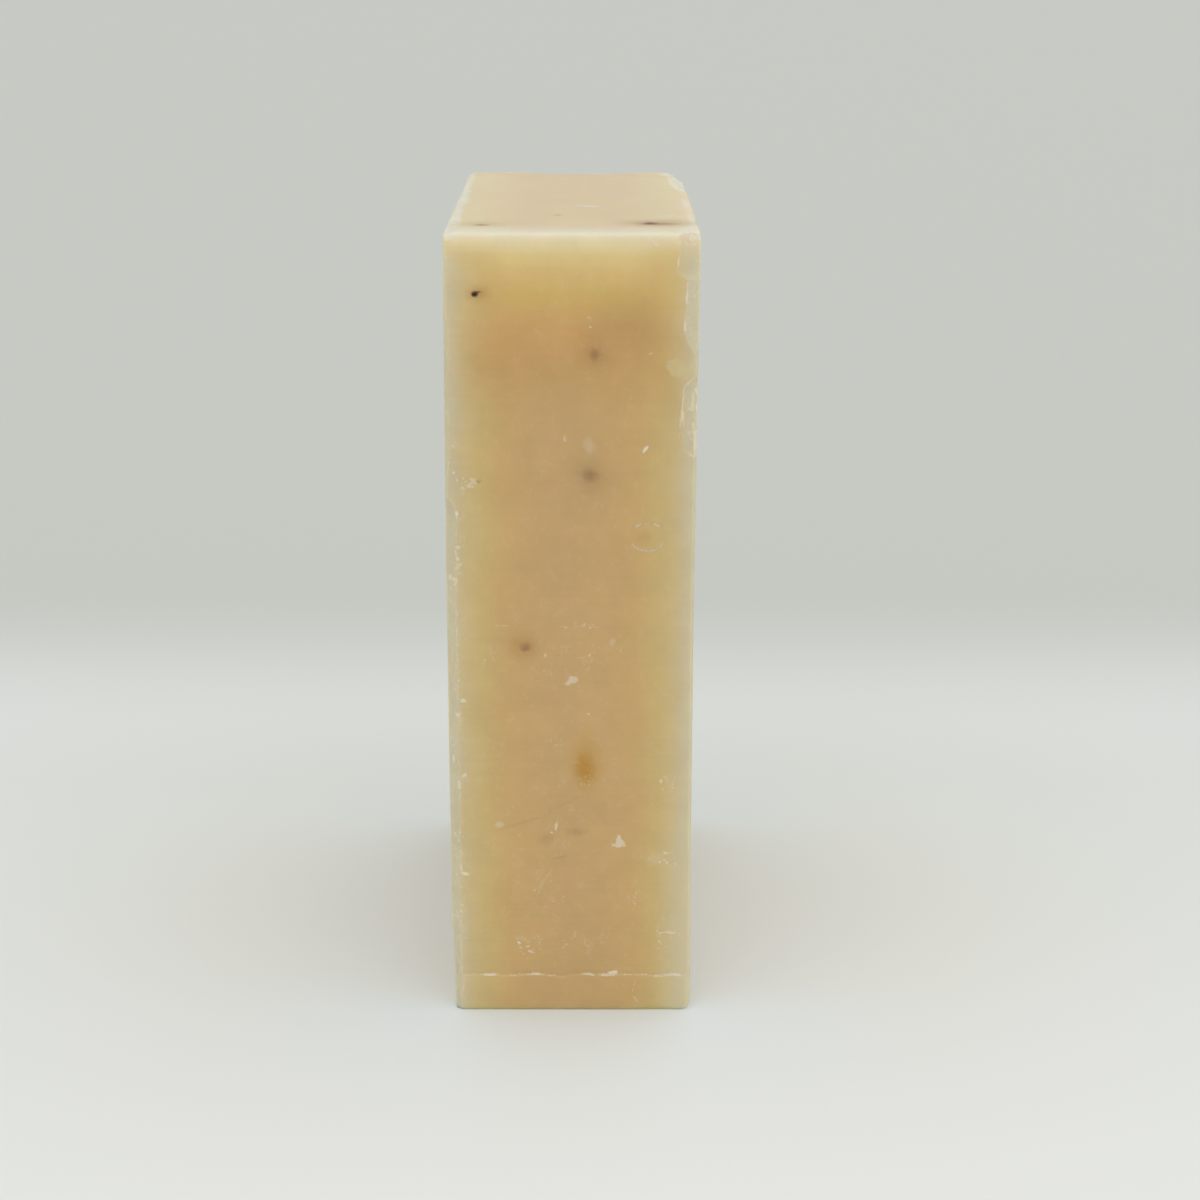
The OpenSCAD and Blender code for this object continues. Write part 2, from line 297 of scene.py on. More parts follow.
# The patterns' sizes: the lumps in the dried skin's depth, the mottling, the broken grain of a cut, the
# distance between blurred grains, the crumbs' own grain, the curls and the patches where they lie
skin_lump = 7.143
mottle_size = 2.5
cut_grain = 0.4167
seed_spacing = 10.0
crumb_grain = 0.25
curl_size = 1.111
curl_patch = 1.25

# Distance between the plane's drag lines, and the height of the finest relief
drag_pitch = 0.38
relief_height = 0.02

# How high a crumb stands, how deep drying hollowed the faces, and how far red light spreads in the soap
crumb_height = 0.07
hollow_depth = 0.05
pore_depth = 0.02
glow_depth = 1.6

# The studio's paper: its tones get darker away from the front as painted shade, with a cooler tint painted
# beside the bar
NEAR_PAPER = "f9faf9"
MIDDLE_PAPER = "eaedea"
FAR_PAPER = "d4d5d0"
beside_bar = (0.985, 1.015, 1.05, 1.0)
skyline_tone = 0.86

# Where the paper's painted shade changes: beside the bar, then far behind it and all round it, out to the
# skyline
paper_near = (-90, 40)
paper_far = (60, 130)
paper_round = (150, 450)
beside_reach = 30
skyline_start = 3000
floor_half = 8000

# The light and the camera
ROOM_COLOUR = "f4f6f4"
room_strength = 0.584
broad_strength = 1.165
broad_lean = 24
broad_side = 20
broad_spread = 170
camera_place = (1.65, -246.4, 113.0)
camera_turn = -0.33
camera_drop = 16.96
camera_roll = 0.2
camera_lens = 68.04


def bow_x(z):
    """How far the bow carries the bar sideways at height z."""
    return bow / 2 - bow * (1 - ((z - bar_h / 2) / (bar_h / 2)) ** 2)


def half_w(z):
    """Half the bar's width at height z."""
    return foot_half_w - top_narrowing / 2 * z / bar_h


def side_x(side, z):
    """Where the right side, 1, or the left side, -1, lies at height z."""
    return side * half_w(z) + bow_x(z)


def smooth(start, end, value):
    """0 before the start, 1 past the end, and a smooth step between them."""
    t = min(1.0, max(0.0, (value - start) / (end - start)))
    return t * t * (3 - 2 * t)


def lumps(p, size, seed=0.0):
    """Smooth noise from -1 to 1 whose lumps are about this many millimetres across."""
    return noise.noise(Vector((p.x / size + seed, p.y / size - seed, p.z / size + 2 * seed)))


def roughness(p, size, seed=0.0):
    """The same noise with three finer octaves on it."""
    return noise.fractal(Vector((p.x / size + seed, p.y / size, p.z / size - seed)), 0.9, 2.1, 4)


# The block: a cube cut into a grid, which gets finer at every edge and where the front has marks


def edge_distance(p):
    """Distance from a point of the surface to the nearest edge of the block."""
    return sorted((foot_half_w - abs(p.x), half_d - abs(p.y), min(p.z, bar_h - p.z)))[1]


def on_front(p):
    return p.y < -half_d + 0.01


def on_top(p):
    return p.z > bar_h - 0.01


def flake_at(z):
    """How wide and how pale the flakes off the front right edge are at height z."""
    flakes = (CORNER_FLAKE, UPPER_FLAKE, LOWER_FLAKE)
    return max((width * smooth(top, full_from, z) * smooth(bottom, full_to, z), pale)
               for top, full_from, full_to, bottom, width, pale in flakes)


def scattered(patch, seed):
    """The crumbs of one patch, as marks of their own."""
    chance = random.Random(seed)
    a, b, half_a, half_b, count, strength = patch
    for _ in range(count):
        yield (a + half_a * chance.uniform(-1, 1), b + half_b * chance.uniform(-1, 1),
               chance.uniform(*crumb_size), chance.uniform(*crumb_size) * 0.7,
               chance.uniform(-90, 90), strength * chance.uniform(0.6, 1.4))


def squares_of(marks):
    """The half-millimetre squares that the marks cover."""
    squares = set()
    for a, b, half_a, half_b, *_ in marks:
        reach = max(half_a, half_b) + mark_margin
        for i in range(math.floor(2 * (a - reach)), math.ceil(2 * (a + reach))):
            for j in range(math.floor(2 * (b - reach)), math.ceil(2 * (b + reach))):
                squares.add((i, j))
    return squares


# The marks that need fine cells
crumbs = [crumb for seed, patch in enumerate(CRUMB_PATCHES.values()) for crumb in scattered(patch, seed)]
sharp_stains = [mark for mark in FRONT_STAINS.values() if min(mark[2:4]) < 0.5]
nail_box = (nail_x, nail_z, nail_half_w, nail_half_h)
busy_front = squares_of([*FLAKES.values(), *crumbs, *sharp_stains, nail_box])
busy_top = squares_of(TOP_FLAKES.values())

# The cells' sizes, the heights from which the front right edge is flaked and flaked widely, and how far
# the worn strips reach in from the edges
finest_cell = 0.13
fine_cell = 0.26
middling_cell = 0.5
coarse_cell = 1.0
flaked_z = 59.0
widely_flaked_z = 77.0
plain_strip = 1.1
flaked_strip = 2.2
wide_strip = 3.0
left_strip = 2.0
top_strip = 1.3
line_strip = 0.7
edge_strip = 1.2
easing_strip = 2.5
foot_strip = 0.6


def cell_wanted(p):
    """The largest cell, in millimetres, that shows what a point of the block carries."""
    gap = edge_distance(p)
    if on_front(p):
        right_strip = plain_strip if p.z < flaked_z else flaked_strip
        if p.z >= widely_flaked_z:
            right_strip = wide_strip
        by_side = foot_half_w - p.x < right_strip or foot_half_w + p.x < left_strip
        by_end = bar_h - p.z < top_strip or abs(p.z - foot_line_z) < line_strip
        busy = (math.floor(2 * p.x), math.floor(2 * p.z)) in busy_front
        if p.z < foot_strip:
            return fine_cell
        return finest_cell if by_side or by_end or busy else middling_cell
    if on_top(p):
        busy = (math.floor(2 * p.x), math.floor(2 * p.y)) in busy_top
        crumbled = gap < flaked_strip and abs(p.x) > foot_half_w - flaked_strip
        return fine_cell if busy or crumbled or gap < edge_strip else middling_cell
    if p.y < -half_d + edge_strip:
        return finest_cell if p.x > 0 and p.z > flaked_z else fine_cell
    if gap < edge_strip:
        return fine_cell
    return middling_cell if gap < easing_strip else coarse_cell


def block():
    """The block before wear, with its base at z = 0."""
    bm = bmesh.new()
    bmesh.ops.create_cube(bm, size=1)
    bmesh.ops.scale(bm, vec=(bar_w, bar_d, bar_h), verts=bm.verts)
    bmesh.ops.translate(bm, vec=(0, 0, bar_h / 2), verts=bm.verts)
    for axis, length in enumerate((bar_w, bar_d, bar_h)):
        edges = [e for e in bm.edges if abs(e.verts[0].co[axis] - e.verts[1].co[axis]) > 0.5 * length]
        bmesh.ops.subdivide_edges(bm, edges=edges, cuts=round(length) - 1, use_grid_fill=True)
    for cell in (1.0, 0.5, 0.25):
        edges = {e for f in bm.faces if cell_wanted(f.calc_center_median()) < cell for e in f.edges}
        bmesh.ops.subdivide_edges(bm, edges=list(edges), cuts=1, use_grid_fill=True)
    return bm


# Wear: each step moves a point of the block's surface in to where the soap now ends


def rounded(p, a, b, edge_a, edge_b, r):
    """Rounds the edge at edge_a, edge_b of two axes, and returns how much of it was worn there."""
    sign_a = math.copysign(1, edge_a - block_middle[a])
    sign_b = math.copysign(1, edge_b - block_middle[b])
    da = sign_a * (p[a] - edge_a) + r
    db = sign_b * (p[b] - edge_b) + r
    far = math.hypot(da, db)
    if da <= 0 or db <= 0 or far <= r:
        return 0.0
    p[a] = edge_a + sign_a * (da * r / far - r)
    p[b] = edge_b + sign_b * (db * r / far - r)
    return smooth(0, 0.35 * r, far - r)


def pared(p, at, outward, raggedness):
    """A plane's stroke: what stands above the plane through a point is moved down onto it."""
    n = outward.normalized()
    above = (p - at).dot(n) + raggedness
    if above > 0:
        p -= above * n
    return above


def ball(at, outward, length, bite):
    """Centre and radius of the ball that leaves a scar of this length and depth."""
    r = (length * length / 4 + bite * bite) / (2 * bite)
    return Vector(at) + Vector(outward).normalized() * (r - bite), r


def flaked(p, scar, raggedness):
    """A shell-shaped scar: what lies inside the ball is moved out of it, into the soap."""
    centre, r = scar
    away = p - centre
    inside = r + raggedness - away.length
    if inside > 0:
        p += away.normalized() * inside
    return inside


right_top = side_x(1, bar_h)
left_top = side_x(-1, bar_h)

# The foot's edges: the axis across each one, its place and its radius
FOOT_EDGES = (
    (1, -half_d, foot_edge_r),
    (1, half_d, foot_edge_r),
    (0, side_x(1, 0), foot_corner_r),
    (0, side_x(-1, 0) + foot_lean, foot_edge_r),
)

# The crumbled corners of the top and the breaks along its right edge. Each scar has its place, the way it
# faces, its length and its depth
BREAKS = (
    ball((right_top, front_y, bar_h), (1, -0.3, 1.2), 4.0, 0.8),
    ball((right_top, half_d - 10.5, bar_h), (0.3, 0, 1), 22.0, 0.5),
    ball((right_top, half_d, bar_h), (1, 0.1, 0.3), 18.0, 1.5),
    ball((left_top, half_d, bar_h), (-1, 0.3, 1), 10.0, 0.5),
    ball((right_top, -17.5, bar_h), (1, 0, 0.4), 8.0, 0.35),
)

# The flake off the left bevel, the rubbed patch on the front and the flake off the foot
LEFT_FLAKE = ball((side_x(-1, left_flake_z), front_y, left_flake_z), (-0.8, -1, 0), 4.4, 0.86)
RUBBED_PATCH = ball((10.6, front_y, 69.6), (0, -1, 0), 2.4, 0.08)
FOOT_SCAR = ball((9.7, -half_d, 1.4), (0, -1, 0), 6.2, 0.1)


def foot_line(x):
    """Height of the ragged line above the foot."""
    p = Vector((x, 0, 0))
    return foot_line_z + foot_line_wave * lumps(p, 2.6, 5.0) + foot_line_jag * lumps(p, 0.7, 9.0)


def lip_at(p):
    """How thickly the lip of pale soap lies at a point of the front, from 0 to 1."""
    height, strength = lip_height, lip_strength
    for start, end, thick, pale in LIP_STRETCHES:
        here = smooth(0, 0.5, p.x - start) * smooth(0, 0.5, end - p.x)
        height += (thick - lip_height) * here
        strength += (pale - lip_strength) * here
    edge = smooth(height, 0.4 * height, abs(p.z - foot_line(p.x) + 0.02))
    return strength * edge * (0.75 + 0.5 * lumps(p, 1.3, 2.0)) * smooth(12.2, 11.6, abs(p.x))


def long_edges(p, wobble):
    """The front left edge's bevel, the three other long edges and the flakes off the front right one."""
    upper = smooth(left_bevel_z - 1, left_bevel_z, p.z)
    width = left_bevel_front * (1 - (1 - left_bevel_upper) * upper)
    bevel = pared(p, Vector((-half_w(p.z) + width, -half_d, p.z)),
                  Vector((-left_bevel_side, -left_bevel_front, 0)), wobble)
    bevel = max(bevel, flaked(p, LEFT_FLAKE, wobble))
    right = side_x(1, p.z)
    worn = rounded(p, 0, 1, right, -half_d, right_edge_r * (1 + max(wobble, -0.1)))
    rounded(p, 0, 1, right, half_d, back_edge_r * (1 + wobble))
    rounded(p, 0, 1, side_x(-1, p.z), half_d, back_edge_r * (1 + wobble))
    width, pale = flake_at(p.z)
    flake = -1.0
    if width > 0.02:
        flake = pared(p, Vector((right - width, front_y, p.z)), Vector((flake_slope, -1, 0)), 0.5 * wobble)
    return bevel, worn, flake, pale


def end_edges(p, wobble):
    """The edges of the top and the foot. Returns how far the top was rubbed and its left strip cut."""
    behind = p.y - front_y
    below = bar_h - p.z
    rubbed = max(rubbed_front * smooth(top_front_r + rubbed_drop, 0, below) * smooth(0.1, 0, behind),
                 rubbed_top * smooth(rubbed_strip, -1, behind) * smooth(0.1, 0, below))
    rounded(p, 1, 2, front_y, bar_h, top_front_r * (1 + wobble))
    turn = (top_strip_front - top_strip_back) / bar_d
    middle = (top_strip_front + top_strip_back) / 2
    strip = pared(p, Vector((left_top + middle, 0, bar_h)),
                  Vector((-top_strip_fall, turn * top_strip_fall, middle)), 0.5 * wobble)
    rounded(p, 0, 2, left_top, bar_h, top_edge_r * (1 + 3 * wobble))
    rounded(p, 1, 2, half_d, bar_h, top_edge_r * (1 + wobble))
    rounded(p, 0, 2, right_top, bar_h, top_edge_r * (1 + wobble))
    for axis, edge, r in FOOT_EDGES:
        rounded(p, axis, 2, edge, 0, r * (1 + wobble))
    return rubbed, strip


def wear(p):
    """Moves one point of the block, and returns how far it is shaved, rubbed pale and crumbled."""
    bare = p.copy()
    front = on_front(p)
    p.x = p.x / foot_half_w * half_w(p.z) + bow_x(p.z)

    # The plane took a little off the front, down to a ragged line
    if front:
        p.y += planed_depth * smooth(-0.12, 0.1, p.z - foot_line(p.x))
    elif p.y < front_y and p.z > foot_line_z:
        p.y = front_y

    # The left side leans in towards the foot
    if p.z < foot_lean_h:
        p.x = max(p.x, side_x(-1, 0) + foot_lean * (1 - p.z / foot_lean_h))

    wobble = edge_wobble * lumps(bare, 4.0, 1.0) + edge_roughness * roughness(bare, 0.9, 2.0)
    left_bevel, right_worn, flake, pale = long_edges(p, wobble)
    rubbed, strip = end_edges(p, wobble)
    crumbly = break_roughness * roughness(bare, 1.1, 4.0)
    broken = max(flaked(p, scar, crumbly) for scar in BREAKS)
    flaked(p, RUBBED_PATCH, 0.02 * lumps(bare, 0.7, 7.0))
    flaked(p, FOOT_SCAR, 0.0)

    # The wire left the top a little hollow towards the back
    p.z -= top_hollow * smooth(-6, half_d, p.y) * smooth(9, 1, abs(p.x)) * smooth(3, 0, bar_h - p.z)

    broken = smooth(0, 0.1, broken)
    strip = smooth(0, 0.03, strip)
    shaved = max(bevel_pale * smooth(0, 0.1, left_bevel), edge_pale * right_worn,
                 pale * smooth(0, 0.05, flake), strip, broken)
    rim = max(share * smooth(0.07, 0.0, abs(depth - 0.03))
              for share, depth in ((bevel_rim, left_bevel), (flake_rim, flake)))
    flaky = smooth(-0.1, 0.4, roughness(bare, 1.3, 8.0))
    white = max(break_white * broken, strip_white * strip) * (0.85 + 0.5 * lumps(bare, 1.5, 3.0))
    return shaved, max(rubbed, white), max(0.3 * white, 0.7 * rim * flaky)


def paint_mark(near, verts, mark, axes, rest, ragged, use):
    """Calls use with each point that a mark covers and how strongly, from 0 to 1."""
    a, b, half_a, half_b, turn, softness = mark
    cos_t = math.cos(math.radians(turn))
    sin_t = math.sin(math.radians(turn))
    inward = 3 - sum(axes)
    middle = Vector(rest)
    middle[axes[0]] = a
    middle[axes[1]] = b
    for co, index, _ in near.find_range(middle, (1 + softness) * max(half_a, half_b) + 0.5):
        da = co[axes[0]] - a
        db = co[axes[1]] - b
        far = math.hypot((da * cos_t + db * sin_t) / half_a, (db * cos_t - da * sin_t) / half_b)
        shown = smooth(1 + softness, 1 - softness, far + ragged * lumps(co, 0.45, a + b))
        shown *= smooth(mark_depth, 0.2 * mark_depth, abs(co[inward] - middle[inward]))
        if shown > 0:
            use(verts[index], shown)


def paint_marks(bm, crumbled, dry_face, stain):
    """Writes the flakes, the crumbs, the dry patches and the stains into the mesh's point values."""
    verts = bm.verts
    verts.ensure_lookup_table()
    near = kdtree.KDTree(len(verts))
    for v in verts:
        near.insert(v.co, v.index)
    near.balance()
    on_the_front = (0, front_y, 0)
    on_the_top = (0, 0, bar_h)

    def raise_to(layer, strength):
        def use(v, shown):
            v[layer] = max(v[layer], strength * shown)
        return use

    def tint(colour, strength):
        def use(v, shown):
            kept = v[stain]
            share = strength * shown
            alpha = share + kept.w * (1 - share)
            mixed = [(share * new + kept.w * (1 - share) * old) / max(alpha, 1e-6)
                     for new, old in zip(colour[:3], kept[:3])]
            v[stain] = (*mixed, alpha)
        return use

    for x, z, half_x, half_z, turn, strength in [*FLAKES.values(), *crumbs]:
        mark = (x, z, half_x, half_z, turn, flake_softness)
        paint_mark(near, verts, mark, (0, 2), on_the_front, flake_raggedness, raise_to(crumbled, strength))
    for x, z, half_x, half_z, _, strength in CRUMB_PATCHES.values():
        mark = (x, z, 1.3 * half_x + 0.3, 1.3 * half_z + 0.3, 0, patch_softness)
        paint_mark(near, verts, mark, (0, 2), on_the_front, patch_raggedness,
                   raise_to(dry_face, patch_dryness * strength))
    for x, y, half_x, half_y, turn, strength in TOP_FLAKES.values():
        mark = (x, y, half_x, half_y, turn, top_flake_softness)
        paint_mark(near, verts, mark, (0, 1), on_the_top, top_flake_raggedness,
                   raise_to(crumbled, strength))
    for x, z, half_x, half_z, turn, softness, strength, code in FRONT_STAINS.values():
        mark = (x, z, half_x, half_z, turn, softness)
        paint_mark(near, verts, mark, (0, 2), on_the_front, stain_raggedness, tint(srgb(code), strength))
    for x, y, half_x, half_y, turn, softness, strength, code in TOP_STAINS.values():
        mark = (x, y, half_x, half_y, turn, softness)
        paint_mark(near, verts, mark, (0, 1), on_the_top, top_stain_raggedness, tint(srgb(code), strength))


def nail_ring(co):
    """How deep the fingernail pressed at a point of the front, from 0 to 1: an upper and a lower arc."""
    u = (co.x - nail_x) / nail_half_w
    w = (co.z - nail_z) / nail_half_h
    far = math.hypot(u, w)
    if far > 2 or far < 0.2:
        return 0.0
    across = abs(far - 1) * nail_half_w
    arc = max(smooth(0.45, 0.8, w / far), smooth(0.2, 0.6, -w / far))
    return arc * smooth(nail_line, 0.05, across)


def soap():
    """The worn bar, with point values for its material."""
    bm = block()
    side_gap = bm.verts.layers.float.new("side_gap")
    top_gap = bm.verts.layers.float.new("top_gap")
    end_face = bm.verts.layers.float.new("end_face")
    hidden = bm.verts.layers.float.new("hidden")
    shaved = bm.verts.layers.float.new("shaved")
    rubbed = bm.verts.layers.float.new("rubbed")
    crumbled = bm.verts.layers.float.new("crumbled")
    dry_face = bm.verts.layers.float.new("dry_face")
    stain = bm.verts.layers.float_color.new("stain")
    for v in bm.verts:
        p = v.co
        gap_x = foot_half_w - abs(p.x)
        gap_y = half_d - abs(p.y)
        v[side_gap] = gap_x if on_top(p) else max(gap_x, gap_y)
        v[top_gap] = bar_h - p.z
        v[end_face] = 1.0 if on_top(p) else 0.0
        v[hidden] = 0.0 if on_top(p) else smooth(1, 4, half_d + p.y)
        by_edge = v[hidden] * smooth(4, 0, v[side_gap])
        v[dry_face] = curls_on_top if on_top(p) else curls_on_faces + curls_by_edges * by_edge
        v[stain] = (0, 0, 0, 0)
        front = on_front(p)
        v[shaved], v[rubbed], v[crumbled] = wear(p)
        if front and abs(p.z - foot_line_z) < 1:
            v[crumbled] = max(v[crumbled], lip_at(p))
    paint_marks(bm, crumbled, dry_face, stain)
    bm.normal_update()
    for v in bm.verts:
        p = v.co
        if p.z < 0.05:
            continue
        sunk = hollow_depth * (0.5 + 0.5 * lumps(p, 9.0, 4.0))
        sunk += pore_depth * (0.5 + 0.5 * roughness(p, 1.6, 6.0))
        if p.y < front_y + 0.05 and p.z > foot_line_z:
            ring = nail_ring(p)
            # The nail's line is painted pale, as a highlight along the groove
            v[crumbled] = max(v[crumbled], nail_painted_highlight * ring * (0.85 + 0.5 * lumps(p, 0.8, 1.0)))
            sunk += nail_depth * ring - crumb_height * v[crumbled]
        v.co -= v.normal * sunk
        p.z = min(p.z, bar_h)
    bmesh.ops.scale(bm, vec=(MM, MM, MM), verts=bm.verts)
    mesh = bpy.data.meshes.new("soap_bar_worn")
    bm.to_mesh(mesh)
    bm.free()
    mesh.shade_smooth()
    piece = bpy.data.objects.new("soap_bar_worn", mesh)
    bpy.context.scene.collection.objects.link(piece)
    return piece


# Materials


def srgb(code, alpha=1.0):
    """A linear colour from an sRGB hex code."""
    values = [int(code[i:i + 2], 16) / 255 for i in (0, 2, 4)]
    return [v / 12.92 if v <= 0.04045 else ((v + 0.055) / 1.055) ** 2.4 for v in values] + [alpha]


def add(tree, kind, inputs=None, **settings):
    """Adds a node with its settings. Each input, by name or number, takes a value or a link."""
    node = tree.nodes.new(kind)
    for name, value in settings.items():
        setattr(node, name, value)
    for name, value in (inputs or {}).items():
        if isinstance(value, bpy.types.NodeSocket):
            tree.links.new(value, node.inputs[name])
        else:
            node.inputs[name].default_value = value
    return node


def set_stops(ramp, stops):
    """Gives a colour ramp its stops, as position and sRGB hex code."""
    elements = ramp.color_ramp.elements
    elements[0].position, elements[0].color = stops[0][0], srgb(stops[0][1])
    elements[1].position, elements[1].color = stops[-1][0], srgb(stops[-1][1])
    for position, code in stops[1:-1]:
        elements.new(position).color = srgb(code)


def cured_soap():
    """Cured hand-made soap, planed: waxy, a little translucent, and tan, but paler where it has dried;
    painted light makes it paler and yellower down from the top, and partly at the edges.
    """
    material = bpy.data.materials.new("cured_soap")
    material.use_nodes = True
    tree = material.node_tree
    shader = tree.nodes["Principled BSDF"]
    where = add(tree, "ShaderNodeTexCoord").outputs["Object"]
    point = add(tree, "ShaderNodeVectorMath", {0: where, "Scale": 1 / MM}, operation="SCALE").outputs[0]
    side_gap = add(tree, "ShaderNodeAttribute", attribute_name="side_gap").outputs["Fac"]
    top_gap = add(tree, "ShaderNodeAttribute", attribute_name="top_gap").outputs["Fac"]
    end_face = add(tree, "ShaderNodeAttribute", attribute_name="end_face").outputs["Fac"]
    hidden = add(tree, "ShaderNodeAttribute", attribute_name="hidden").outputs["Fac"]
    shaved = add(tree, "ShaderNodeAttribute", attribute_name="shaved").outputs["Fac"]
    rubbed = add(tree, "ShaderNodeAttribute", attribute_name="rubbed").outputs["Fac"]
    crumbled = add(tree, "ShaderNodeAttribute", attribute_name="crumbled").outputs["Fac"]
    dry_face = add(tree, "ShaderNodeAttribute", attribute_name="dry_face").outputs["Fac"]
    stain = add(tree, "ShaderNodeAttribute", attribute_name="stain")

    # The dried skin's depth wanders a little, so the pale edges do too
    cloud = add(tree, "ShaderNodeTexNoise",
                {"Vector": point, "Scale": 1 / skin_lump, "Detail": 2.0}).outputs[0]
    wander = add(tree, "ShaderNodeMath", {0: cloud, 1: 0.5}, operation="SUBTRACT").outputs[0]
    from_side = add(tree, "ShaderNodeMath", {0: wander, 1: 1.5, 2: side_gap},
                    operation="MULTIPLY_ADD").outputs[0]
    from_side = add(tree, "ShaderNodeMath", {0: from_side, 1: colour_reach}, operation="DIVIDE").outputs[0]
    least = add(tree, "ShaderNodeMath", {0: hidden, 1: least_on_sides}, operation="MULTIPLY").outputs[0]
    from_side = add(tree, "ShaderNodeMath", {0: from_side, 1: least}, operation="MAXIMUM").outputs[0]
    # The edges' paleness is partly dried skin and partly painted light that shines through the thin soap
    side = add(tree, "ShaderNodeValToRGB", {"Fac": from_side})
    set_stops(side, SIDE_STOPS)
    # Painted light: down from the top the soap is paler and yellower, as if the lit top glowed into it, and
    # the sides' colour is brightened a little near the top
    from_top = add(tree, "ShaderNodeMath", {0: top_gap, 1: colour_reach}, operation="DIVIDE").outputs[0]
    side_with_painted_top_light = add(tree, "ShaderNodeMapRange", {0: from_top, 1: 0.25, 2: 0.7, 3: 1.07, 4: 1.0}).outputs[0]
    side_with_painted_top_light = add(tree, "ShaderNodeMix", {0: 1.0, 6: side.outputs[0], 7: side_with_painted_top_light},
                   data_type="RGBA", blend_type="MULTIPLY").outputs[2]
    top = add(tree, "ShaderNodeValToRGB", {"Fac": from_top})
    set_stops(top, TOP_GLOW_STOPS)
    by_side = add(tree, "ShaderNodeMapRange", {0: from_side, 1: 0.5, 2: 0.03, 3: 0.0, 4: 1.0},
                  interpolation_type="SMOOTHSTEP").outputs[0]
    below_top = add(tree, "ShaderNodeMapRange", {0: from_top, 1: 0.02, 2: 0.25, 3: 0.0, 4: 1.0},
                    interpolation_type="SMOOTHSTEP").outputs[0]
    side_share = add(tree, "ShaderNodeMath", {0: by_side, 1: below_top}, operation="MULTIPLY").outputs[0]
    far_down = add(tree, "ShaderNodeMapRange", {0: from_top, 1: 0.6, 2: 1.4, 3: 0.0, 4: 1.0},
                   interpolation_type="SMOOTHSTEP").outputs[0]
    side_share = add(tree, "ShaderNodeMath", {0: side_share, 1: far_down}, operation="MAXIMUM").outputs[0]
    skin = add(tree, "ShaderNodeMix", {0: side_share, 6: top.outputs[0], 7: side_with_painted_top_light},
               data_type="RGBA").outputs[2]
    end_side = add(tree, "ShaderNodeMapRange", {0: from_side, 1: 0.6, 2: 0.15, 3: 0.0, 4: 1.0},
                   interpolation_type="SMOOTHSTEP").outputs[0]
    end_skin = add(tree, "ShaderNodeMix", {0: end_side, 6: srgb(END_COLOUR), 7: srgb(END_SIDE_COLOUR)},
                   data_type="RGBA").outputs[2]
    colour = add(tree, "ShaderNodeMix", {0: end_face, 6: skin, 7: end_skin}, data_type="RGBA").outputs[2]

    # Soft mottling, and the faint level lines that the plane's edge dragged across every upright face
    mottle = add(tree, "ShaderNodeTexNoise",
                 {"Vector": point, "Scale": 1 / mottle_size, "Detail": 4.0}).outputs[0]
    mottle_tone = add(tree, "ShaderNodeMapRange",
                      {0: mottle, 1: 0.3, 2: 0.7, 3: 0.965, 4: 1.035}).outputs[0]
    stretched = add(tree, "ShaderNodeVectorMath", {0: point, 1: (0.05, 0.05, 1 / drag_pitch)},
                    operation="MULTIPLY").outputs[0]
    drag = add(tree, "ShaderNodeTexNoise", {"Vector": stretched, "Scale": 1.0, "Detail": 2.0}).outputs[0]
    drag_tone = add(tree, "ShaderNodeMapRange", {0: drag, 1: 0.3, 2: 0.7, 3: 0.99, 4: 1.01}).outputs[0]
    tone = add(tree, "ShaderNodeMath", {0: mottle_tone, 1: drag_tone}, operation="MULTIPLY").outputs[0]
    colour = add(tree, "ShaderNodeMix", {0: 1.0, 6: colour, 7: tone},
                 data_type="RGBA", blend_type="MULTIPLY").outputs[2]

    # Fresh cuts are paler, with a broken grain, and the rubbed edges are palest
    fine = add(tree, "ShaderNodeTexNoise",
               {"Vector": point, "Scale": 1 / cut_grain, "Detail": 3.0}).outputs[0]
    cut = add(tree, "ShaderNodeMapRange", {0: fine, 1: 0.35, 2: 0.65, 3: 0.45, 4: 0.8}).outputs[0]
    cut = add(tree, "ShaderNodeMath", {0: cut, 1: shaved}, operation="MULTIPLY").outputs[0]
    colour = add(tree, "ShaderNodeMix", {0: cut, 6: colour, 7: srgb(SHAVED_COLOUR)},
                 data_type="RGBA").outputs[2]
    pale = add(tree, "ShaderNodeMath", {0: rubbed, 1: 0.9}, operation="MULTIPLY").outputs[0]
    colour = add(tree, "ShaderNodeMix", {0: pale, 6: colour, 7: srgb(RUBBED_COLOUR)},
                 data_type="RGBA").outputs[2]

    # Blurred grains under the sides and the back, and the marked ones under the front and the top
    seeds = add(tree, "ShaderNodeTexVoronoi",
                {"Vector": point, "Scale": 1 / seed_spacing}).outputs["Distance"]
    seeds = add(tree, "ShaderNodeMapRange", {0: seeds, 1: 0.13, 2: 0.02, 3: 0.0, 4: 0.5},
                interpolation_type="SMOOTHSTEP").outputs[0]
    seeds = add(tree, "ShaderNodeMath", {0: seeds, 1: hidden}, operation="MULTIPLY").outputs[0]
    colour = add(tree, "ShaderNodeMix", {0: seeds, 6: colour, 7: srgb(SEED_COLOUR)},
                 data_type="RGBA").outputs[2]
    colour = add(tree, "ShaderNodeMix", {0: stain.outputs["Alpha"], 6: colour, 7: stain.outputs["Color"]},
                 data_type="RGBA").outputs[2]

    # Crumbs: the finer grain breaks up each one, and a weak one lets the soap show through
    grain = add(tree, "ShaderNodeTexNoise",
                {"Vector": point, "Scale": 1 / crumb_grain, "Detail": 2.0}).outputs[0]
    ragged = add(tree, "ShaderNodeMath", {0: grain, 1: 0.8, 2: crumbled},
                 operation="MULTIPLY_ADD").outputs[0]
    covered = add(tree, "ShaderNodeMapRange", {0: ragged, 1: 0.55, 2: 0.85, 3: 0.0, 4: 1.0},
                  interpolation_type="SMOOTHSTEP").outputs[0]
    solid = add(tree, "ShaderNodeMapRange", {0: crumbled, 1: 0.1, 2: 1.0, 3: 0.25, 4: 0.95}).outputs[0]
    covered = add(tree, "ShaderNodeMath", {0: covered, 1: solid}, operation="MULTIPLY").outputs[0]
    colour = add(tree, "ShaderNodeMix", {0: covered, 6: colour, 7: srgb(CRUMB_COLOUR)},
                 data_type="RGBA").outputs[2]

